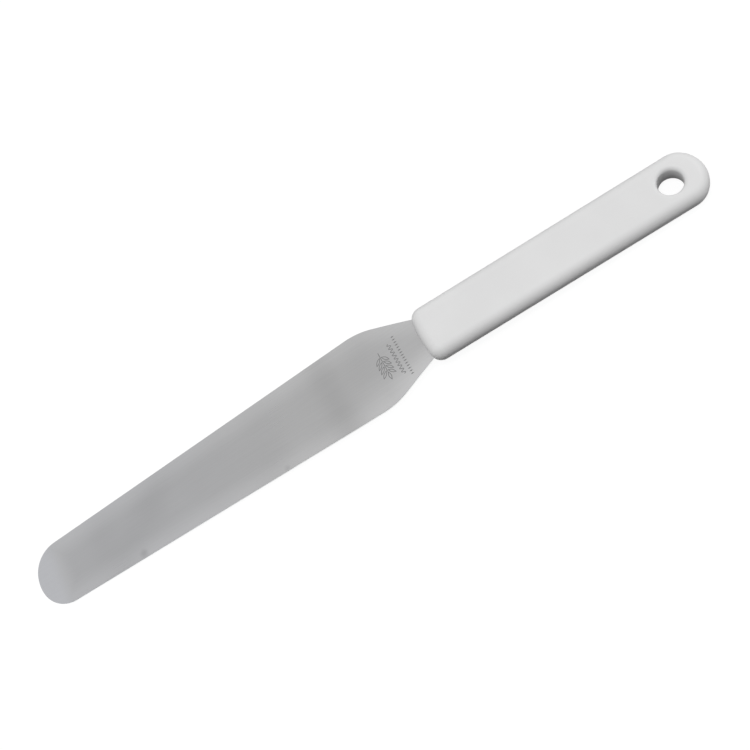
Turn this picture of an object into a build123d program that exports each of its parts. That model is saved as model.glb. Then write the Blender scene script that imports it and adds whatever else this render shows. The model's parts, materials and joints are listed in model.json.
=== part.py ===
from build123d import *
from math import asin, atan2, cos, degrees, radians, sin, tan
import os

# Icing spatula: a springy stainless blade whose tang is moulded into a one-piece plastic handle.
#
# It is two pieces, the blade with its tang and the handle moulded round the tang. Each is drawn in a
# design frame: the handle's front end at X = 0, the blade towards +X, the handle's faces square to Z, and
# everything symmetrical about Y = 0. Both are then laid down as the spatula lies on a table, on its tip
# and on the underside of the handle's rear end, with the origin at the bottom centre of the spatula's
# bounding box. Sizes are in millimetres and degrees.

# Handle
HANDLE_LENGTH = 130.8
HANDLE_THICKNESS = 9.0
HANDLE_WIDTH = 24.6
HANDLE_EDGE_RADIUS = 4.2  # nearly a full round along the sides
FRONT_BULGE = 1.2  # how far the middle of the front end stands ahead of its corners
FRONT_CORNER_RADIUS = 5.0
REAR_END_RADIUS = 13.2
REAR_CORNER_RADIUS = 10.0

# Hole through the handle, for a hook
HANG_HOLE_RADIUS = 5.3
HANG_HOLE_SETBACK = 15.2  # from the handle's rear end to the axis
HANG_HOLE_RIM_RADIUS = 1.75

# Blade, outside the handle
BLADE_LENGTH = 190.0
NECK_WIDTH = 20.5  # where the blade leaves the handle
SHOULDER_WIDTH = 36.6  # between the shoulders' corners, before they are rounded
SHOULDER_DISTANCE = 21.0  # from the handle to the corners
SHOULDER_RADIUS = 32.0
TIP_WIDTH = 27.7
TIP_END_RADIUS = 17.0
TIP_CORNER_RADIUS = 13.0  # smaller than the end's, so the round tip is a little square
BEND_START = 1.0
BEND_RADIUS = 150.0
BLADE_DROP = 3.4  # how far the blade leans down from the handle's plane
ROOT_THICKNESS = 1.2
TIP_THICKNESS = 0.7
BLADE_EDGE_RADIUS = 0.2

# Tang, inside the handle
TANG_WIDTH = 14.0
TANG_LENGTH = 92.0
TANG_CORNER_RADIUS = 4.0
LOCKING_HOLE_RADIUS = 3.0  # the plastic runs through these and holds the tang
LOCKING_HOLE_SETBACKS = (26.0, 52.0, 78.0)  # from the handle's front end

SAME_PLACE = 1e-4  # how close two sizes are when they are meant to be one


def handle_outline():
    """The handle from above: straight sides, a shallow curve in front and a round rear end."""
    front = Vector(-FRONT_BULGE, HANDLE_WIDTH / 2)
    rear_reach = (REAR_END_RADIUS**2 - (HANDLE_WIDTH / 2) ** 2) ** 0.5
    rear = Vector(REAR_END_RADIUS - HANDLE_LENGTH - rear_reach, HANDLE_WIDTH / 2)
    with BuildSketch() as sketch:
        with BuildLine():
            Line(front, rear)
            ThreePointArc(rear, (-HANDLE_LENGTH, 0), (rear.X, -rear.Y))
            Line((rear.X, -rear.Y), (front.X, -front.Y))
            ThreePointArc((front.X, -front.Y), (0, 0), front)
        make_face()
        corners = sketch.vertices().group_by(Axis.X)
        fillet(corners[0], REAR_CORNER_RADIUS)
        fillet(corners[-1], FRONT_CORNER_RADIUS)
    return sketch.sketch


def make_handle(blade):
    """The moulded handle: every edge rounded, the hanging hole through it, and the tang's shape inside."""
    body = extrude(handle_outline(), HANDLE_THICKNESS / 2, both=True)
    flat_faces = body.faces().sort_by(Axis.Z)
    body = fillet(flat_faces[0].edges() + flat_faces[-1].edges(), HANDLE_EDGE_RADIUS)
    body -= Pos(HANG_HOLE_SETBACK - HANDLE_LENGTH, 0, 0) * Cylinder(HANG_HOLE_RADIUS, HANDLE_THICKNESS)
    rims = body.edges().filter_by(GeomType.CIRCLE).filter_by(
        lambda edge: abs(edge.radius - HANG_HOLE_RADIUS) < SAME_PLACE
    )
    return fillet(rims, HANG_HOLE_RIM_RADIUS) - blade


def blade_outline():
    """The blank from above: a round tip, wide shoulders, and a taper that runs on into the tang."""
    tip_reach = (TIP_END_RADIUS**2 - (TIP_WIDTH / 2) ** 2) ** 0.5
    tip_corner = Vector(BLADE_LENGTH - TIP_END_RADIUS + tip_reach, TIP_WIDTH / 2)
    shoulder = Vector(SHOULDER_DISTANCE, SHOULDER_WIDTH / 2)
    taper = (SHOULDER_WIDTH - NECK_WIDTH) / 2 / SHOULDER_DISTANCE
    tang_front = Vector((TANG_WIDTH - NECK_WIDTH) / 2 / taper, TANG_WIDTH / 2)
    tang_rear = Vector(-TANG_LENGTH, TANG_WIDTH / 2)
    rounds = {tang_rear.X: TANG_CORNER_RADIUS, shoulder.X: SHOULDER_RADIUS, tip_corner.X: TIP_CORNER_RADIUS}
    with BuildSketch() as sketch:
        with BuildLine() as half:
            Polyline((tang_rear.X, 0), tang_rear, tang_front, shoulder, tip_corner)
            RadiusArc(tip_corner, (BLADE_LENGTH, 0), TIP_END_RADIUS)
            mirror(half.line, about=Plane.XZ)
        make_face()
        for place, radius in rounds.items():
            corners = sketch.vertices().filter_by(lambda corner: abs(corner.X - place) < SAME_PLACE)
            fillet(corners, radius)
    return sketch.sketch


def bend_end():
    """The middle of the sheet where the bend ends, as X and Z."""
    drop = radians(BLADE_DROP)
    return Vector(BEND_START + BEND_RADIUS * sin(drop), BEND_RADIUS * (cos(drop) - 1))


def tip_middle():
    """The middle of the sheet at the tip, as X and Z."""
    end = bend_end()
    return Vector(BLADE_LENGTH, end.Y - (BLADE_LENGTH - end.X) * tan(radians(BLADE_DROP)))


def blade_side():
    """The blade from the side: a level tang, a soft bend, then a straight run that thins to the tip."""
    across = Vector(0, 1).rotate(Axis.Z, -BLADE_DROP)
    half_root = ROOT_THICKNESS / 2
    half_tip = TIP_THICKNESS / 2
    with BuildSketch(Plane.XZ) as sketch:
        with BuildLine():
            top = Line((-TANG_LENGTH, half_root), (BEND_START, half_root))
            top_bend = TangentArc(top @ 1, bend_end() + across * half_root, tangent=top % 1)
            bottom = Line((-TANG_LENGTH, -half_root), (BEND_START, -half_root))
            bottom_bend = TangentArc(bottom @ 1, bend_end() - across * half_root, tangent=bottom % 1)
            top_tip = tip_middle() + across * half_tip
            bottom_tip = tip_middle() - across * half_tip
            past_tip = (top_tip - top_bend @ 1).normalized()
            Polyline(
                top_bend @ 1,
                top_tip,
                top_tip + past_tip,
                bottom_tip + past_tip,
                bottom_tip,
                bottom_bend @ 1,
            )
            Line(top @ 0, bottom @ 0)
        make_face()
    return sketch.sketch


def make_blade():
    """The blade and its tang, one sheet with softened edges, and the holes that lock the tang in."""
    plan = extrude(blade_outline(), BLADE_LENGTH, both=True)
    sheet = plan & extrude(blade_side(), SHOULDER_WIDTH, both=True)
    rims = sheet.edges().filter_by(Axis.Z, reverse=True).filter_by(Axis.Y, reverse=True)
    blade = fillet(rims, BLADE_EDGE_RADIUS)
    for setback in LOCKING_HOLE_SETBACKS:
        blade -= Pos(-setback, 0, 0) * Cylinder(LOCKING_HOLE_RADIUS, BLADE_LENGTH)
    return blade


def rest_tilt():
    """How far the spatula turns, in degrees, for its tip and the handle's rear end to rest on one table.

    Both are rounded underneath, so it rests on two rounds, whose centres are these.
    """
    rear = Vector(HANDLE_EDGE_RADIUS - HANDLE_LENGTH, HANDLE_EDGE_RADIUS - HANDLE_THICKNESS / 2)
    tip = tip_middle() + Vector(-BLADE_EDGE_RADIUS, BLADE_EDGE_RADIUS - TIP_THICKNESS / 2)
    span = tip - rear
    return degrees(atan2(-span.Y, span.X) - asin((HANDLE_EDGE_RADIUS - BLADE_EDGE_RADIUS) / span.length))


def lay_down(pieces):
    """The pieces as they lie on a table, with the origin at the bottom centre of their bounding box."""
    tilted = {name: Rot(0, -rest_tilt(), 0) * piece for name, piece in pieces.items()}
    box = Compound(list(tilted.values())).bounding_box()
    to_origin = Pos(-box.center().X, 0, -box.min.Z)
    return {name: to_origin * piece for name, piece in tilted.items()}


def main():
    os.makedirs("parts", exist_ok=True)
    blade = make_blade()
    for name, piece in lay_down({"blade": blade, "handle": make_handle(blade)}).items():
        export_step(piece, f"parts/{name}.step")


main()
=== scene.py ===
import bpy
import json
from math import acos, ceil, cos, pi, radians, sin, sqrt
from mathutils import Matrix, Vector
from mathutils.geometry import delaunay_2d_cdt


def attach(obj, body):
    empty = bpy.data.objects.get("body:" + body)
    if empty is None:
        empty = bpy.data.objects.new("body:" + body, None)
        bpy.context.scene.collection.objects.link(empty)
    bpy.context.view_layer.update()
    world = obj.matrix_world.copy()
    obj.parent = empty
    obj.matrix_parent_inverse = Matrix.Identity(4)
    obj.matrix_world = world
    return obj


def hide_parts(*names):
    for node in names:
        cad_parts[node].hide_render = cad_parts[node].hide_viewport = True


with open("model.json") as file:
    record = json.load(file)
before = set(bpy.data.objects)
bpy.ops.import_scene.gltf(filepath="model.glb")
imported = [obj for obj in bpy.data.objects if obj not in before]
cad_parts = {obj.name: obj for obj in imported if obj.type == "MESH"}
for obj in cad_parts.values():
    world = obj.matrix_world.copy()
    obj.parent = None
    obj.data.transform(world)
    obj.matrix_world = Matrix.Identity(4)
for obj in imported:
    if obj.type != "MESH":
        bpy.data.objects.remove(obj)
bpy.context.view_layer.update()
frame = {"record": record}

# The spatula's sizes are in millimetres, in its design frame: the handle's front end at X = 0, the blade
# towards +X, the handle's faces square to Z, and everything symmetrical about Y = 0.
MM = 0.001

# Handle
HANDLE_LENGTH = 130.8
HANDLE_HALF = 4.5
HANDLE_SIDE = 12.3
HANDLE_EDGE = 4.2
FRONT_BULGE = 1.2
FRONT_CORNER = 5.0
REAR_END = 13.2
REAR_CORNER = 10.0
HOLE_RADIUS = 5.3
HOLE_SETBACK = 15.2
HOLE_RIM = 1.75

# Blade
BLADE_LENGTH = 190.0
NECK_SIDE = 10.25
SHOULDER_SIDE = 18.3
SHOULDER_DISTANCE = 21.0
SHOULDER_RADIUS = 32.0
TIP_SIDE = 13.85
TIP_END = 17.0
TIP_CORNER = 13.0
BEND_START = 1.0
BEND_RADIUS = 150.0
BLADE_DROP = radians(3.4)
ROOT_HALF = 0.6
TIP_HALF = 0.35
BLADE_EDGE = 0.2

# Tang, inside the handle
TANG_SIDE = 7.0
TANG_LENGTH = 92.0
TANG_CORNER = 4.0
LOCK_RADIUS = 3.0
LOCK_SETBACKS = (26.0, 52.0, 78.0)

# Camera
AZIMUTH = 193.06  # where the camera stands round the spatula, in degrees
ELEVATION = 64.21
ROLL = 43.87
DISTANCE = 0.5520
AIM = Vector((-0.00595, -0.0012, 0.0))
LENS = 65.04


# ---------------------------------------------------------------- frame

def hanging_hole():
    """The middle and the axis of the hanging hole, in the row frame."""
    mount = next(m for m in frame["record"]["mounts"] if m["name"] == "hang_hole")
    return Vector(mount["pos_m"]), Vector(mount["axis"]).normalized()


def design_frame():
    """The design frame's place in the row frame, worked out from the hanging hole."""
    middle, up = hanging_hole()
    along = Vector((up.z, 0, -up.x))
    origin = middle + along * (HANDLE_LENGTH - HOLE_SETBACK) * MM
    turn = Matrix((along, Vector((0, 1, 0)), up)).transposed().to_4x4()
    return Matrix.Translation(origin) @ turn @ Matrix.Scale(MM, 4)


# ---------------------------------------------------------------- shells

INSIDE_ONLY = 1  # the kind of triangulation that stays inside the outer loop
SAME_PLACE = 1e-4  # points nearer to each other than this are one


class Shell:
    """Points with their surface normals and the faces between them, in the design frame."""

    def __init__(self):
        self.points = []
        self.normals = []
        self.faces = []
        self.flat = []

    def add(self, point, normal):
        """A new point. The faces name it by the number that is returned."""
        self.points.append(Vector(point))
        self.normals.append(Vector(normal))
        return len(self.points) - 1

    def face(self, corners, flat=False):
        """A face between numbered points, smooth over its edges or flat. A repeated corner is dropped."""
        distinct = [c for i, c in enumerate(corners) if c != corners[i - 1]]
        if len(distinct) > 2:
            self.faces.append(distinct)
            self.flat.append(flat)

    def band(self, lower, upper, closed=True):
        """Quads between two rows of points."""
        for i in range(len(lower) if closed else len(lower) - 1):
            j = (i + 1) % len(lower)
            self.face((lower[i], lower[j], upper[j], upper[i]))

    def fill(self, loops, flip=False):
        """A flat face bounded by the first loop, with the other loops as its round holes."""
        corners = [c for loop in loops for c in loop]
        of_loop = [i for i, loop in enumerate(loops) for _ in loop]
        edges = []
        for loop in loops:
            start = len(edges)
            edges += [(start + i, start + (i + 1) % len(loop)) for i in range(len(loop))]
        plan = [Vector(self.points[c][:2]) for c in corners]
        _, _, triangles, sources, _, _ = delaunay_2d_cdt(plan, edges, [], INSIDE_ONLY, SAME_PLACE / 10)
        for triangle in triangles:
            found = [sources[i][0] for i in triangle]
            across_a_hole = {of_loop[i] for i in found} in [{hole} for hole in range(1, len(loops))]
            if not across_a_hole:
                self.face([corners[i] for i in (reversed(found) if flip else found)])

    def piece(self, name):
        """The finished mesh as an object in the row frame."""
        used = sorted({c for face in self.faces for c in face})
        place = {c: i for i, c in enumerate(used)}
        matrix = design_frame()
        turn = matrix.to_3x3().normalized()
        mesh = bpy.data.meshes.new(name)
        corners = [matrix @ self.points[c] for c in used]
        mesh.from_pydata(corners, [], [[place[c] for c in face] for face in self.faces])
        mesh.update()
        normals = [(turn @ self.normals[c]).normalized() for c in used]
        mesh.normals_split_custom_set(
            [
                polygon.normal if self.flat[polygon.index] else normals[mesh.loops[i].vertex_index]
                for polygon in mesh.polygons
                for i in polygon.loop_indices
            ]
        )
        obj = bpy.data.objects.new(name, mesh)
        bpy.context.scene.collection.objects.link(obj)
        return obj


# ---------------------------------------------------------------- outlines

FINE = 0.35  # the step along tight curves
COARSE = 4.0  # the step along straight sides


def arc(centre, radius, start, end, step):
    """Points on an arc from one normal's angle to another, each with its outward normal."""
    count = max(1, ceil(abs(end - start) * radius / step))
    turns = [start + (end - start) * i / count for i in range(count + 1)]
    return [(centre + radius * Vector((cos(t), sin(t))), Vector((cos(t), sin(t)))) for t in turns]


def run(start, end, step):
    """Points between the ends of a straight run, with the run's normal."""
    (a, normal), (b, _) = start, end
    count = max(1, ceil((b - a).length / step))
    return [(a.lerp(b, i / count), normal) for i in range(1, count)]


def joined(arcs, step):
    """Arcs joined by straight runs, with no point twice. step is the runs' own."""
    points = list(arcs[0])
    for following in arcs[1:]:
        if (following[0][0] - points[-1][0]).length > SAME_PLACE:
            points += run(points[-1], following[0], step)
            points += following
        else:
            points += following[1:]
    return points


def handle_half_outline():
    """Half of the handle's outline, from the middle of its front end round to the middle of its rear end."""
    front_radius = (HANDLE_SIDE**2 + FRONT_BULGE**2) / 2 / FRONT_BULGE
    front = Vector((-front_radius, 0))
    corner_y = HANDLE_SIDE - FRONT_CORNER
    corner = Vector((front.x + sqrt((front_radius - FRONT_CORNER) ** 2 - corner_y**2), corner_y))
    rear = Vector((REAR_END - HANDLE_LENGTH, 0))
    rear_y = HANDLE_SIDE - REAR_CORNER
    rear_corner = Vector((rear.x - sqrt((REAR_END - REAR_CORNER) ** 2 - rear_y**2), rear_y))
    front_turn = acos((corner - front).normalized().x)
    rear_turn = acos((rear_corner - rear).normalized().x)
    return joined(
        (
            arc(front, front_radius, 0, front_turn, 2 * FINE),
            arc(corner, FRONT_CORNER, front_turn, pi / 2, FINE),
            arc(rear_corner, REAR_CORNER, pi / 2, rear_turn, 2 * FINE),
            arc(rear, REAR_END, rear_turn, pi, 2 * FINE),
        ),
        COARSE,
    )


def angle_of(vector):
    """The angle from +X of a direction on the +Y side."""
    return acos(vector.normalized().x)


def blade_half_outline():
    """Half of the blade's outline, from the middle of its tip back to the handle, then round the tang."""
    shoulder = Vector((SHOULDER_DISTANCE, SHOULDER_SIDE))
    tip_corner = Vector((BLADE_LENGTH - TIP_END + sqrt(TIP_END**2 - TIP_SIDE**2), TIP_SIDE))
    taper = (tip_corner - shoulder).normalized()
    side = Vector((-taper.y, taper.x))
    flare = Vector((SHOULDER_DISTANCE, SHOULDER_SIDE - NECK_SIDE)).normalized()
    neck = Vector((-flare.y, flare.x))
    tip = Vector((BLADE_LENGTH - TIP_END, 0))
    reach = (-TIP_CORNER - (tip - shoulder).dot(side)) / (TIP_END - TIP_CORNER)
    tip_turn = angle_of(side) - acos(reach)
    tip_round = tip + (TIP_END - TIP_CORNER) * Vector((cos(tip_turn), sin(tip_turn)))
    shoulder_round = shoulder - SHOULDER_RADIUS / (1 + side.dot(neck)) * (side + neck)
    slope = flare.y / flare.x
    tang_front = Vector(((TANG_SIDE - NECK_SIDE) / slope, TANG_SIDE))
    mouth = Vector((0, NECK_SIDE))
    tang_mitre = (neck + Vector((0, 1))) / (1 + neck.y)
    tang_rear = Vector((TANG_CORNER - TANG_LENGTH, TANG_SIDE - TANG_CORNER))
    visible = joined(
        (
            arc(tip, TIP_END, 0, tip_turn, 2 * FINE),
            arc(tip_round, TIP_CORNER, tip_turn, angle_of(side), 2 * FINE),
            arc(shoulder_round, SHOULDER_RADIUS, angle_of(side), angle_of(neck), 2 * FINE),
            [(mouth, neck)],
        ),
        2 * FINE,
    )
    hidden = joined(
        (
            [(mouth, neck)],
            [(tang_front, tang_mitre)],
            arc(tang_rear, TANG_CORNER, pi / 2, pi, 2 * FINE),
            [(Vector((-TANG_LENGTH, 0)), Vector((-1, 0)))],
        ),
        COARSE,
    )
    return visible, hidden


def mirrored(half, ends=(True, True)):
    """The half outline followed by its mirror image, as one loop. ends says which end lies on Y = 0."""
    other = [(Vector((p.x, -p.y)), Vector((n.x, -n.y))) for p, n in reversed(half)]
    return half + other[1 if ends[1] else 0 : -1 if ends[0] else None]


# ---------------------------------------------------------------- blade

EDGE_TURNS = [radians(22.5 * i) for i in range(5)]  # from facing sideways to facing up
LOCK_SEGMENTS = 32
NEARBY = 0.05  # the distance over which the sheet's slope is taken


def sheet_height(x, side):
    """The height of the blade's top, side 1, or of its underside, side -1."""
    radius = BEND_RADIUS + side * ROOT_HALF
    reach = x - BEND_START
    if reach <= 0:
        return side * ROOT_HALF
    if reach <= radius * sin(BLADE_DROP):
        return sqrt(radius**2 - reach**2) - BEND_RADIUS
    across = Vector((sin(BLADE_DROP), cos(BLADE_DROP)))
    bend_middle = Vector((BEND_START + BEND_RADIUS * across.x, BEND_RADIUS * (across.y - 1)))
    run_length = (BLADE_LENGTH - bend_middle.x) / across.y
    tip_middle = bend_middle + run_length * Vector((across.y, -across.x))
    start = bend_middle + side * ROOT_HALF * across
    end = tip_middle + side * TIP_HALF * across
    return start.y + (end.y - start.y) * (x - start.x) / (end.x - start.x)


def sheet_normal(x, side):
    """The outward normal of the blade's top or underside."""
    rise = sheet_height(x + NEARBY, side) - sheet_height(x - NEARBY, side)
    return Vector((-rise * side, 0, 2 * NEARBY * side)).normalized()


def blade_rings(shell, outline):
    """Rows of points round the blade's edge, from the underside's rim up to the top's rim."""
    rings = []
    for side, turns in ((-1, reversed(EDGE_TURNS)), (1, EDGE_TURNS)):
        for turn in turns:
            ring = []
            for point, mitre in outline:
                place = point - BLADE_EDGE * (1 - cos(turn)) * mitre
                height = sheet_height(place.x, side) - side * BLADE_EDGE * (1 - sin(turn))
                outward = Vector((mitre.x, mitre.y, 0)).normalized()
                normal = outward * cos(turn) + sheet_normal(place.x, side) * sin(turn)
                ring.append(shell.add((place.x, place.y, height), normal))
            rings.append(ring)
    return rings


def circle(centre, radius, count):
    """Evenly spaced points on a circle."""
    turns = [2 * pi * i / count for i in range(count)]
    return [centre + radius * Vector((cos(turn), sin(turn))) for turn in turns]


def blade_piece():
    """The blade with its tang, one sheet of steel."""
    shell = Shell()
    visible, hidden = blade_half_outline()
    half = visible + hidden[1:]
    outline = mirrored(half)
    rings = blade_rings(shell, outline)
    for lower, upper in zip(rings, rings[1:]):
        shell.band(lower, upper)
    mouth = len(visible) - 1
    rims = []
    for ring, side in ((rings[0], -1), (rings[-1], 1)):
        for i in range(mouth):
            quad = (ring[i], ring[i + 1], ring[-i - 1], ring[-i])
            shell.face(tuple(reversed(quad)) if side < 0 else quad)
        tang = ring[mouth : len(outline) - mouth + 1]
        rims.append(lock_rims(shell, shell.points[tang[0]].z, side))
        shell.fill([tang] + rims[-1], side < 0)
    lock_walls(shell, *rims)
    return shell.piece("blade_sheet")


def lock_rims(shell, height, side):
    """The rims of the locking holes on one face, which looks up, side 1, or down, side -1."""
    rims = []
    for setback in LOCK_SETBACKS:
        places = circle(Vector((-setback, 0)), LOCK_RADIUS, LOCK_SEGMENTS)
        rims.append([shell.add((p.x, p.y, height), (0, 0, side)) for p in places])
    return rims


def lock_walls(shell, lower_rims, upper_rims, filled=False):
    """The walls between the rims: of the tang's holes, or of the plastic if the holes are filled."""
    for lower, upper in zip(lower_rims, upper_rims):
        for i in range(LOCK_SEGMENTS):
            j = (i + 1) % LOCK_SEGMENTS
            quad = (lower[j], lower[i], upper[i], upper[j])
            shell.face(tuple(reversed(quad)) if filled else quad, flat=True)


# ---------------------------------------------------------------- handle

EDGE_STEPS = 12  # round the handle's edge, from the slot's level to its face
HOLE_SEGMENTS = 96
RIM_STEPS = 8


def with_mouth(half):
    """The handle's half outline with a point exactly where the blade's side enters it."""
    slope = (SHOULDER_SIDE - NECK_SIDE) / SHOULDER_DISTANCE
    for i, (point, normal) in enumerate(half[1:], 1):
        if point.y > NECK_SIDE + slope * point.x:
            before, normal_before = half[i - 1]
            gap = NECK_SIDE + slope * before.x - before.y
            step = gap / (gap + point.y - NECK_SIDE - slope * point.x)
            found = (before.lerp(point, step), normal_before.lerp(normal, step).normalized())
            return half[:i] + [found] + half[i:], i


def handle_piece():
    """The moulded handle: rounded edges, the hanging hole, the slot and the space that the tang fills."""
    shell = Shell()
    half, mouth = with_mouth(handle_half_outline())
    outline = mirrored(half)
    wall = HANDLE_HALF - HANDLE_EDGE
    slot_turn = acos(sqrt(1 - ((ROOT_HALF - wall) / HANDLE_EDGE) ** 2))
    turns = [0] + [slot_turn + (pi / 2 - slot_turn) * i / EDGE_STEPS for i in range(EDGE_STEPS + 1)]
    rings = []
    for side, order in ((-1, list(reversed(turns))), (1, turns)):
        for turn in order:
            ring = []
            for point, normal in outline:
                place = point - HANDLE_EDGE * (1 - cos(turn)) * normal
                height = side * (wall + HANDLE_EDGE * sin(turn))
                outward = Vector((normal.x * cos(turn), normal.y * cos(turn), side * sin(turn)))
                ring.append(shell.add((place.x, place.y, height), outward))
            rings.append(ring)
    count = len(outline)
    low = len(turns) - 2
    for level, (lower, upper) in enumerate(zip(rings, rings[1:])):
        for i in range(count):
            j = (i + 1) % count
            in_slot = level in (low, low + 1, low + 2) and (i < mouth or i >= count - mouth)
            if not in_slot:
                shell.face((lower[i], lower[j], upper[j], upper[i]))
    hole_rims(shell, rings)
    tang_space(shell, rings[low : low + 4], mouth)
    return shell.piece("handle_moulding")


def hole_rims(shell, rings):
    """The handle's faces and the hanging hole between them, with its rounded rims."""
    centre = Vector((HOLE_SETBACK - HANDLE_LENGTH, 0))
    turns = [pi / 2 * i / RIM_STEPS for i in range(RIM_STEPS + 1)]
    rows = []
    for side in (-1, 1):
        for turn in turns if side > 0 else reversed(turns):
            row = []
            for point in circle(centre, 1, HOLE_SEGMENTS):
                away = point - centre
                place = centre + (HOLE_RADIUS + HOLE_RIM * (1 - cos(turn))) * away
                height = side * (HANDLE_HALF - HOLE_RIM * (1 - sin(turn)))
                normal = (-away.x * cos(turn), -away.y * cos(turn), side * sin(turn))
                row.append(shell.add((place.x, place.y, height), normal))
            rows.append(row)
    for lower, upper in zip(rows, rows[1:]):
        shell.band(upper, lower)
    shell.fill([rings[0], rows[0]], True)
    shell.fill([rings[-1], rows[-1]])


def tang_space(shell, levels, mouth):
    """The slot in the front end and the space behind it, which the tang fills."""
    _, hidden = blade_half_outline()
    front_x = min(shell.points[levels[0][i]].x for i in (0, mouth))
    inner = [p for p, _ in hidden if p.x < front_x - SAME_PLACE]
    loop = inner + [Vector((p.x, -p.y)) for p in reversed(inner[:-1])]
    space = {}
    rims = []
    for side, level in ((-1, levels[0]), (1, levels[3])):
        back = [shell.add((p.x, p.y, side * ROOT_HALF), (0, 0, -side)) for p in loop]
        front = level[-mouth:] + level[: mouth + 1]
        rims.append(lock_rims(shell, side * ROOT_HALF, -side))
        first = len(shell.faces)
        shell.fill([front + back] + rims[-1], side > 0)
        for i in range(first, len(shell.faces)):
            shell.flat[i] = True
        space[side] = back
    for i in range(len(loop) - 1):
        shell.face((space[1][i], space[1][i + 1], space[-1][i + 1], space[-1][i]), flat=True)
    left = [level[mouth] for level in levels]
    right = [level[-mouth] for level in levels]
    shell.face(left + [space[1][0], space[-1][0]], flat=True)
    shell.face(list(reversed(right)) + [space[-1][-1], space[1][-1]], flat=True)
    lock_walls(shell, *rims, filled=True)


# ---------------------------------------------------------------- etched ornament

MARK_WIDTH = 0.26
MARK_PROUD = 0.004
MARK_DEPTH = 0.03
MITRE_LIMIT = 0.5  # keeps a stroke from growing too wide at a sharp corner
MARK_Y = 1.3  # the mark stands a little to one side of the blade's middle
EAR_X = 17.7  # the middle of the wheat ear, from the handle
EAR_REACH = 6.5
GRAIN_LENGTH = 3.5
GRAIN_WIDTH = 1.05
GRAIN_TURN = radians(44)
GRAIN_STEP = 2.1
GRAIN_GAP = 0.45
GRAIN_PAIRS = 4
GRAIN_STEPS = 8  # points along each side of a grain
WAVE_X = 12.3
WAVE_REACH = 7.4
WAVE_RISE = 0.75
WAVE_COUNT = 9
WAVE_STEPS = 12  # points to each wave
LOZENGE_X = 9.4
LOZENGE_REACH = 9.2
LOZENGE_COUNT = 15
LOZENGE_LENGTH = 1.7
LOZENGE_WIDTH = 0.5
LOZENGE_CORNERS = ((1, 0), (0, 1), (-1, 0), (0, -1))


def stroke(shell, line, width, closed=False):
    """A flat line of metal let into the blade's top, along points given as X and Y."""
    count = len(line)
    rows = []
    for i, point in enumerate(line):
        before = line[i - 1] if i or closed else point
        after = line[(i + 1) % count] if i < count - 1 or closed else point
        into, out = (point - before).normalized(), (after - point).normalized()
        along = (into + out).normalized()
        reach = width / 2 / max(MITRE_LIMIT, along.dot(out if out.length else into))
        across = Vector((-along.y, along.x)) * reach
        section = ((point + across, 1), (point - across, 1), (point - across, -1), (point + across, -1))
        row = []
        for place, rise in section:
            height = sheet_height(place.x, 1) + (MARK_PROUD if rise > 0 else -MARK_DEPTH)
            row.append(shell.add((place.x, place.y, height), (0, 0, rise)))
        rows.append(row)
    for i in range(count if closed else count - 1):
        near, far = rows[i], rows[(i + 1) % count]
        for a in range(4):
            b = (a + 1) % 4
            shell.face((near[a], near[b], far[b], far[a]), flat=True)
    if not closed:
        shell.face(list(reversed(rows[0])), flat=True)
        shell.face(rows[-1], flat=True)


def grain(shell, base, turn):
    """The outline of one grain, a pointed oval that starts at base and leans by turn from the ear's line."""
    shares = [i / GRAIN_STEPS for i in range(GRAIN_STEPS + 1)]
    side = [(sin(pi * share) * GRAIN_WIDTH / 2, GRAIN_LENGTH * share) for share in shares]
    oval = side + [(-x, y) for x, y in reversed(side[1:-1])]
    line = [base + Vector((x * cos(turn) + y * sin(turn), y * cos(turn) - x * sin(turn))) for x, y in oval]
    stroke(shell, line, MARK_WIDTH, closed=True)


def etched_piece():
    """A wheat ear and two border rows, etched across the blade beside the handle."""
    shell = Shell()
    top = MARK_Y + EAR_REACH - GRAIN_LENGTH
    stroke(shell, [Vector((EAR_X, MARK_Y - EAR_REACH)), Vector((EAR_X, top - MARK_WIDTH))], MARK_WIDTH)
    grain(shell, Vector((EAR_X, top)), 0)
    for i in range(GRAIN_PAIRS):
        for side in (1, -1):
            base = Vector((EAR_X + side * GRAIN_GAP, top - GRAIN_LENGTH / 4 - GRAIN_STEP * i))
            grain(shell, base, side * GRAIN_TURN)
    steps = WAVE_STEPS * WAVE_COUNT
    turns = [2 * pi * WAVE_COUNT * i / steps for i in range(steps + 1)]
    across = WAVE_REACH / pi / WAVE_COUNT
    wave = [Vector((WAVE_X + WAVE_RISE * sin(turn), MARK_Y + across * turn - WAVE_REACH)) for turn in turns]
    stroke(shell, wave, MARK_WIDTH)
    for i in range(LOZENGE_COUNT):
        y = MARK_Y + LOZENGE_REACH * (2 * i / (LOZENGE_COUNT - 1) - 1)
        lozenge(shell, Vector((LOZENGE_X, y)))
    return shell.piece("etched_ornament")


def lozenge(shell, centre):
    """A filled lozenge, long towards the tip."""
    places = [centre + Vector((x * LOZENGE_LENGTH / 2, y * LOZENGE_WIDTH / 2)) for x, y in LOZENGE_CORNERS]
    rows = []
    for rise, offset in ((-1, -MARK_DEPTH), (1, MARK_PROUD)):
        rows.append([shell.add((p.x, p.y, sheet_height(p.x, 1) + offset), (0, 0, rise)) for p in places])
    shell.face(list(reversed(rows[0])), flat=True)
    shell.face(rows[1], flat=True)
    for i in range(4):
        j = (i + 1) % 4
        shell.face((rows[0][i], rows[0][j], rows[1][j], rows[1][i]), flat=True)


# ---------------------------------------------------------------- materials

NOISE_RANGE = (0.3, 0.7)  # most of a noise's values lie between these

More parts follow.
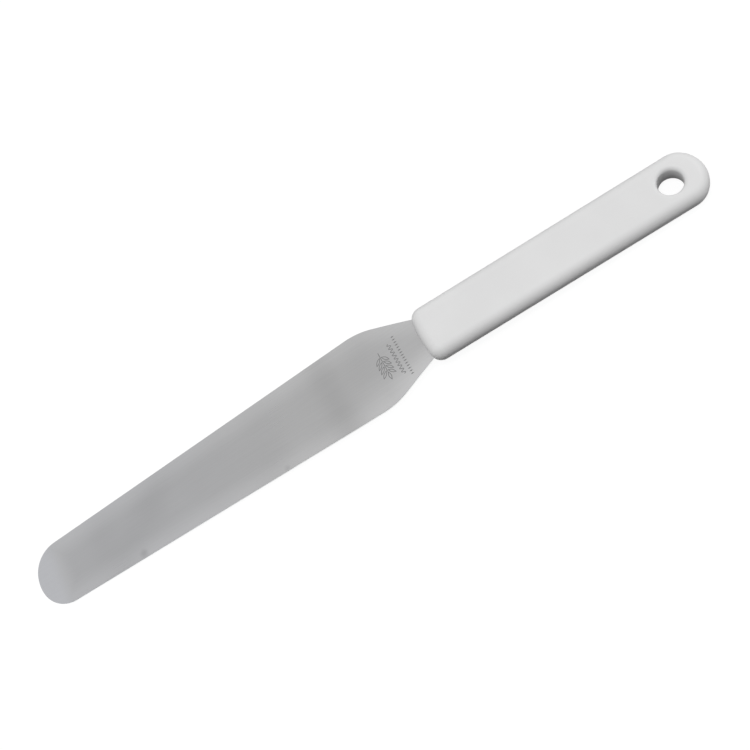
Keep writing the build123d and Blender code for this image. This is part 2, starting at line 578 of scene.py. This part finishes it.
# Satin steel
STEEL = (0.614, 0.614, 0.617, 1)
COOL_STEEL = (0.602, 0.609, 0.634, 1)
COOL_SHARE = 0.5
COOL_X = (40.0, 150.0)  # the steel looks cooler beyond these distances from the handle
CLOUD_SCALE = 38.0
CLOUD_TONE = (-0.01, 0.04)
CLOUD_ROUGHNESS = (0.31, 0.37)
BRUSHING_SCALE = (60.0, 9000.0, 60.0)
BRUSHING_TONE = (0.965, 1.035)
BRUSHING_ROUGHNESS = (-0.04, 0.04)
BRUSHING_BUMP = (0.00001, 0.8)  # depth in metres and strength
SCRATCH_SCALE = (25.0, 1600.0, 25.0)
SCRATCH_TONE = 0.03
SCRATCH_RANGE = (0.70, 0.78)
ANISOTROPY = 0.3

# Zones of the blade with painted reflections, which make the steel lighter: how much lighter each one is, and
# where it ends in millimetres
SIDE_PAINTED_SHEEN = 0.15
SIDE_SHEEN_REACH = 10.0  # from either side
TIP_PAINTED_SHEEN = 0.21
TIP_SHEEN_REACH = (6.0, 18.0)  # from the tip
NECK_PAINTED_SHEEN = 0.09
NECK_END = 31.0
HEEL_PAINTED_SHEEN = 0.12
HEEL_X = (25.0, 43.0)
HEEL_Y = (0.0, 13.0)

# Soft bands of painted reflection across the blade: X, slant, how much darker, and reach to either side
PAINTED_REFLECTION_BANDS = (
    (42.5, 0.0, 0.075, 10.0),
    (62.0, 0.0, -0.05, 18.0),
    (137.0, -0.9, 0.05, 16.0),
    (157.0, 0.0, 0.03, 14.0),
)

# Patches of painted dark reflection at one side of the blade: X, Y, how much darker, and reach
PAINTED_DARK_PATCHES = ((142.5, 13.0, 0.19, 2.8), (72.5, 15.7, 0.12, 2.0))

# Etched steel
ETCHED_STEEL = (0.33, 0.33, 0.335)
FROST_SCALE = 9000.0
FROST_TONE = (0.85, 1.15)
FROST_ROUGHNESS = (0.5, 0.68)
FROST_BUMP = (0.00001, 0.7)

# Plastic
PLASTIC = (0.775, 0.775, 0.776)
PLASTIC_SPECULAR = 0.15
TONE_SCALE = 45.0
TONE = (0.985, 1.015)
GRAIN_SCALE = 4200.0
GRAIN_ROUGHNESS = (0.42, 0.50)
GRAIN_BUMP = (0.00003, 0.8)
PEEL_SCALE = 420.0
PEEL_BUMP = (0.00002, 0.5)
SCUFF_SCALE = (70.0, 900.0, 300.0)
SCUFF_RANGE = (0.66, 0.76)
SCUFF_TONE = 0.012
SCUFF_ROUGHNESS = 0.06
# Painted shade: the hanging hole's wall is darkened more and more towards its lower end
PAINTED_HOLE_SHADE = 0.86  # how much darker the hanging hole is at its lower end
PAINTED_HOLE_SHADE_POWER = 1.5


def in_metres(lengths):
    return [length * MM for length in lengths]


class Graph:
    """Short calls for a material's or a world's nodes."""

    def __init__(self, owner):
        owner.use_nodes = True
        self.nodes = owner.node_tree.nodes
        self.links = owner.node_tree.links

    def add(self, kind, settings=None, **inputs):
        """A new shader node. An underscore in an input's name stands for a space."""
        node = self.nodes.new("ShaderNode" + kind)
        for name, value in (settings or {}).items():
            setattr(node, name, value)
        for name, value in inputs.items():
            self.put(node, name.replace("_", " "), value)
        return node

    def put(self, node, name, value):
        """Links another node's output to the named or numbered input, or sets the input's own value."""
        socket = node.inputs[name]
        if isinstance(value, bpy.types.NodeSocket):
            self.links.new(value, socket)
        else:
            socket.default_value = value

    def put_all(self, node, values):
        for i, value in enumerate(values):
            self.put(node, i, value)
        return node

    def place(self):
        return self.add("TexCoord").outputs["Object"]

    def scaled(self, vector, scale):
        return self.add("Mapping", Vector=vector, Scale=scale).outputs["Vector"]

    def noise(self, vector, scale=1.0, detail=3.0, w=0.0):
        """Noise with so many cells to each unit of the vector. w picks another pattern."""
        settings = {"noise_dimensions": "4D"}
        return self.add("TexNoise", settings, Vector=vector, W=w, Scale=scale, Detail=detail).outputs["Fac"]

    def span(self, value, low, high, start=0.0, end=1.0, smooth=True):
        """low to high, as value goes from start to end."""
        node = self.add("MapRange", {"interpolation_type": "SMOOTHSTEP" if smooth else "LINEAR"})
        return self.put_all(node, (value, start, end, low, high)).outputs["Result"]

    def vary(self, noise, low, high):
        """low to high, as a noise goes over its usual range."""
        return self.span(noise, low, high, *NOISE_RANGE)

    def math(self, operation, *values):
        return self.put_all(self.add("Math", {"operation": operation}), values).outputs["Value"]

    def vector(self, operation, *values):
        node = self.put_all(self.add("VectorMath", {"operation": operation}), values)
        return node.outputs["Value" if operation in ("LENGTH", "DISTANCE", "DOT_PRODUCT") else "Vector"]

    def tint(self, colour, factor):
        """colour, made lighter or darker by factor."""
        node = self.add("VectorMath", {"operation": "SCALE"}, Scale=factor)
        self.put(node, 0, colour)
        return node.outputs["Vector"]

    def mixed(self, share, first, second):
        """A colour between two, by the Mix node's colour sockets."""
        node = self.add("Mix", {"data_type": "RGBA"})
        for i, value in ((0, share), (6, first), (7, second)):
            self.put(node, i, value)
        return node.outputs[2]

    def bump(self, height, distance, strength):
        return self.add("Bump", Height=height, Distance=distance, Strength=strength)


def new_material(name):
    """A material with its graph and its shader."""
    material = bpy.data.materials.new(name)
    graph = Graph(material)
    return material, graph, graph.nodes["Principled BSDF"]


def blade_distances(graph, axes):
    """Distances from the handle, from the tip and from the nearer long side, in metres."""
    front = design_frame().translation.x
    from_handle = graph.math("SUBTRACT", axes["X"], front)
    from_tip = graph.math("SUBTRACT", front + BLADE_LENGTH * MM, axes["X"])
    flaring = (SHOULDER_SIDE - NECK_SIDE) / SHOULDER_DISTANCE
    flare = graph.math("MULTIPLY_ADD", from_handle, flaring, NECK_SIDE * MM)
    narrowing = (TIP_SIDE - SHOULDER_SIDE) / (BLADE_LENGTH - TIP_END - SHOULDER_DISTANCE)
    start = (SHOULDER_SIDE - narrowing * SHOULDER_DISTANCE) * MM
    taper = graph.math("MULTIPLY_ADD", from_handle, narrowing, start)
    half_width = graph.math("MINIMUM", flare, taper)
    from_side = graph.math("SUBTRACT", half_width, graph.math("ABSOLUTE", axes["Y"]))
    return from_handle, from_tip, from_side


def painted_blade_reflections(graph, place):
    """The painted reflections over the blade, as changes of tone which are added up, and how cool the steel
    looks.
    """
    axes = graph.add("SeparateXYZ", Vector=place).outputs
    from_handle, from_tip, from_side = blade_distances(graph, axes)
    # Painted reflections: lighter along the sides and at the tip
    side_sheen = graph.span(from_side, SIDE_PAINTED_SHEEN, 0.0, 0.0, SIDE_SHEEN_REACH * MM)
    tip_sheen = graph.span(from_tip, 1.0, 0.0, *in_metres(TIP_SHEEN_REACH))
    sides_and_tip_sheen = graph.math("MAXIMUM", side_sheen, graph.math("MULTIPLY", tip_sheen, TIP_PAINTED_SHEEN))
    # Painted reflections: lighter near the handle and at one side of the heel
    neck = graph.span(from_handle, NECK_PAINTED_SHEEN, 0.0, 0.0, NECK_END * MM)
    heel_along = graph.span(from_handle, HEEL_PAINTED_SHEEN, 0.0, *in_metres(HEEL_X))
    heel_across = graph.span(axes["Y"], 0.0, 1.0, *in_metres(HEEL_Y))
    painted_tones = [sides_and_tip_sheen, neck, graph.math("MULTIPLY", heel_along, heel_across)]
    # Painted reflections: soft darker and lighter bands across the blade
    for x, slant, depth, reach in PAINTED_REFLECTION_BANDS:
        offset = graph.math("SUBTRACT", from_handle, x * MM)
        away = graph.math("ABSOLUTE", graph.math("MULTIPLY_ADD", axes["Y"], slant, offset))
        painted_tones.append(graph.span(away, -depth, 0.0, 0.0, reach * MM))
    plan = graph.add("CombineXYZ", X=from_handle, Y=axes["Y"]).outputs["Vector"]
    # Painted reflections: dark patches at one side of the blade
    for x, y, depth, reach in PAINTED_DARK_PATCHES:
        away = graph.vector("DISTANCE", plan, Vector((x * MM, y * MM, 0)))
        painted_tones.append(graph.span(away, -depth, 0.0, 0.0, reach * MM))
    cool_by_place = graph.span(from_handle, 0.0, COOL_SHARE, *in_metres(COOL_X))
    return painted_tones, graph.math("MAXIMUM", cool_by_place, tip_sheen)


def steel():
    """Satin stainless: brushed lengthwise and softly clouded, with painted reflections that make it brighter
    along its sides, at its tip and near the handle, and painted soft bands and dark patches.
    """
    material, graph, shader = new_material("satin_steel")
    place = graph.place()
    clouds = graph.noise(place, CLOUD_SCALE, detail=1.0, w=2.0)
    brushing = graph.noise(graph.scaled(place, BRUSHING_SCALE))
    scratches = graph.noise(graph.scaled(place, SCRATCH_SCALE), detail=1.0, w=5.0)
    hairlines = graph.span(scratches, 0.0, SCRATCH_TONE, *SCRATCH_RANGE)
    painted_tones, coolness = painted_blade_reflections(graph, place)
    shade = graph.math("ADD", graph.vary(clouds, *CLOUD_TONE), graph.vary(brushing, *BRUSHING_TONE))
    # The painted reflections are added to the steel's tone along with the hairlines
    for tone in (hairlines, *painted_tones):
        shade = graph.math("ADD", shade, tone)
    brushed = graph.vary(brushing, *BRUSHING_ROUGHNESS)
    roughness = graph.math("ADD", graph.vary(clouds, *CLOUD_ROUGHNESS), brushed)
    graph.put(shader, "Base Color", graph.tint(graph.mixed(coolness, STEEL, COOL_STEEL), shade))
    graph.put(shader, "Roughness", roughness)
    graph.put(shader, "Normal", graph.bump(brushing, *BRUSHING_BUMP).outputs["Normal"])
    shader.inputs["Metallic"].default_value = 1.0
    shader.inputs["Anisotropic"].default_value = ANISOTROPY
    return material


def etched_steel():
    """Steel with its polish etched away: dark and frosted."""
    material, graph, shader = new_material("etched_steel")
    frost = graph.noise(graph.place(), FROST_SCALE, detail=2.0)
    graph.put(shader, "Base Color", graph.tint(ETCHED_STEEL, graph.vary(frost, *FROST_TONE)))
    graph.put(shader, "Roughness", graph.vary(frost, *FROST_ROUGHNESS))
    graph.put(shader, "Normal", graph.bump(frost, *FROST_BUMP).outputs["Normal"])
    shader.inputs["Metallic"].default_value = 1.0
    return material


def painted_hole_shade(graph, place):
    """Painted shade: how much darker the wall of the hanging hole is, more so towards its lower end."""
    middle, axis = hanging_hole()
    from_middle = graph.vector("SUBTRACT", place, middle)
    from_axis = graph.vector("LENGTH", graph.vector("CROSS_PRODUCT", from_middle, axis))
    height = graph.vector("DOT_PRODUCT", from_middle, axis)
    in_hole = graph.span(from_axis, 1.0, 0.0, HOLE_RADIUS * MM, (HOLE_RADIUS + HOLE_RIM) * MM)
    depth = graph.span(height, 1.0, 0.0, -HANDLE_HALF * MM, HANDLE_HALF * MM, smooth=False)
    deep = graph.math("MULTIPLY", graph.math("POWER", depth, PAINTED_HOLE_SHADE_POWER), PAINTED_HOLE_SHADE)
    return graph.math("MULTIPLY", in_hole, deep)


def plastic():
    """Moulded white plastic: a fine satin grain, with a few faint scuffs, and painted shade in the hanging
    hole.
    """
    material, graph, shader = new_material("moulded_plastic")
    place = graph.place()
    tone = graph.noise(place, TONE_SCALE, detail=2.0)
    grain = graph.noise(place, GRAIN_SCALE, detail=2.0)
    peel = graph.noise(place, PEEL_SCALE, detail=1.0)
    scuffs = graph.noise(graph.scaled(place, SCUFF_SCALE), detail=2.0, w=3.0)
    scuffed = graph.span(scuffs, 0.0, 1.0, *SCUFF_RANGE)
    shade = graph.math("SUBTRACT", graph.vary(tone, *TONE), graph.math("MULTIPLY", scuffed, SCUFF_TONE))
    # Painted shade in the hanging hole
    shade = graph.math("SUBTRACT", shade, painted_hole_shade(graph, place))
    roughened = graph.math("MULTIPLY", scuffed, SCUFF_ROUGHNESS)
    roughness = graph.math("ADD", graph.vary(grain, *GRAIN_ROUGHNESS), roughened)
    peel_bump = graph.bump(peel, *PEEL_BUMP)
    grain_bump = graph.bump(grain, *GRAIN_BUMP)
    graph.put(grain_bump, "Normal", peel_bump.outputs["Normal"])
    graph.put(shader, "Base Color", graph.tint(PLASTIC, shade))
    graph.put(shader, "Roughness", roughness)
    graph.put(shader, "Normal", grain_bump.outputs["Normal"])
    shader.inputs["Specular IOR Level"].default_value = PLASTIC_SPECULAR
    return material


# ---------------------------------------------------------------- studio

FLOOR_TONE = 0.12
FLOOR_GLOW = 0.92
FLOOR_FADE = (0.8, 2.4)  # the floor is solid up to the first distance and gone at the second
FLOOR_SIDES = 96
PALE = 1.0  # what the camera sees beyond the floor
SKY_BRIGHT = 0.645
SKY_LEAN = radians(30)  # the bright side of the sky leans from the zenith towards -Y
SKY_SHIFT = 0.05  # and a little towards +X
SKY_FADE = (-0.15, 0.42)
SKY_LOW = (-0.1, 0.3)  # the heights between which the sky comes up from darkness
KEY_PLACE = Vector((0.0, 0.13, 1.3))
KEY_SIZE = 0.7
KEY_POWER = 6.25
SIDE_PLACE = Vector((-1.0, 0.05, 0.12))
SIDE_SIZE = 0.2
SIDE_POWER = 2.2


def make_camera():
    """The camera stands round the spatula by its azimuth and elevation, aimed at a point, and then rolls."""
    camera = bpy.data.objects.new("camera", bpy.data.cameras.new("camera"))
    camera.data.lens = LENS
    camera.data.clip_start = 0.01
    turn = Matrix.Rotation(radians(AZIMUTH), 4, "Z") @ Matrix.Rotation(radians(90 - ELEVATION), 4, "X")
    away = Matrix.Translation((0, 0, DISTANCE))
    roll = Matrix.Rotation(radians(-ROLL), 4, "Z")
    camera.matrix_world = Matrix.Translation(AIM) @ turn @ away @ roll
    bpy.context.scene.collection.objects.link(camera)
    bpy.context.scene.camera = camera


def make_floor():
    """A pale table that fades out far away. It shows in reflections but doesn't light the dark side."""
    bpy.ops.mesh.primitive_circle_add(vertices=FLOOR_SIDES, radius=FLOOR_FADE[1], fill_type="NGON")
    floor = bpy.context.object
    floor.name = "floor"
    material, graph, shader = new_material("floor")
    shader.inputs["Base Color"].default_value = (FLOOR_TONE, FLOOR_TONE, FLOOR_TONE, 1)
    shader.inputs["Roughness"].default_value = 1.0
    shader.inputs["Specular IOR Level"].default_value = 0.0
    shader.inputs["Emission Color"].default_value = (1, 1, 1, 1)
    shader.inputs["Emission Strength"].default_value = FLOOR_GLOW
    away = graph.vector("LENGTH", graph.place())
    graph.put(shader, "Alpha", graph.span(away, 1.0, 0.0, *FLOOR_FADE))
    floor.data.materials.append(material)
    floor.visible_diffuse = False


def make_light(name, location, size, power):
    """A round soft lamp aimed at the spatula, which doesn't show in the steel."""
    data = bpy.data.lights.new(name, "AREA")
    data.shape = "DISK"
    data.size = size
    data.energy = power
    light = bpy.data.objects.new(name, data)
    light.location = location
    light.rotation_euler = (-location).to_track_quat("-Z", "Y").to_euler()
    light.visible_camera = False
    light.visible_glossy = False
    bpy.context.scene.collection.objects.link(light)


def make_sky():
    """Soft light from above and one side, falling off to a dark side. The camera sees a pale tone."""
    world = bpy.data.worlds.new("studio")
    bpy.context.scene.world = world
    graph = Graph(world)
    direction = graph.add("TexCoord").outputs["Generated"]
    bright_side = Vector((SKY_SHIFT, -sin(SKY_LEAN), cos(SKY_LEAN))).normalized()
    towards = graph.vector("DOT_PRODUCT", direction, bright_side)
    height = graph.add("SeparateXYZ", Vector=direction).outputs["Z"]
    above = graph.span(height, 0.0, 1.0, *SKY_LOW)
    glow = graph.math("MULTIPLY", graph.span(towards, 0.0, SKY_BRIGHT, *SKY_FADE), above)
    seen = graph.add("LightPath").outputs["Is Camera Ray"]
    background = graph.nodes["Background"]
    background.inputs["Color"].default_value = (1, 1, 1, 1)
    graph.put(background, "Strength", graph.math("MAXIMUM", glow, graph.math("MULTIPLY", seen, PALE)))


# ---------------------------------------------------------------- the spatula

blade = blade_piece()
handle = handle_piece()
etched = etched_piece()
for piece, slot, material in (
    (blade, "blade_steel", steel()),
    (etched, "blade_steel", etched_steel()),
    (handle, "handle_plastic", plastic()),
):
    piece.data.materials.append(material)
    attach(piece, "root")
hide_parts("blade")
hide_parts("handle")

make_camera()
make_floor()
make_sky()
make_light("key", KEY_PLACE, KEY_SIZE, KEY_POWER)
make_light("side", SIDE_PLACE, SIDE_SIZE, SIDE_POWER)
bpy.context.scene.view_settings.view_transform = "Standard"
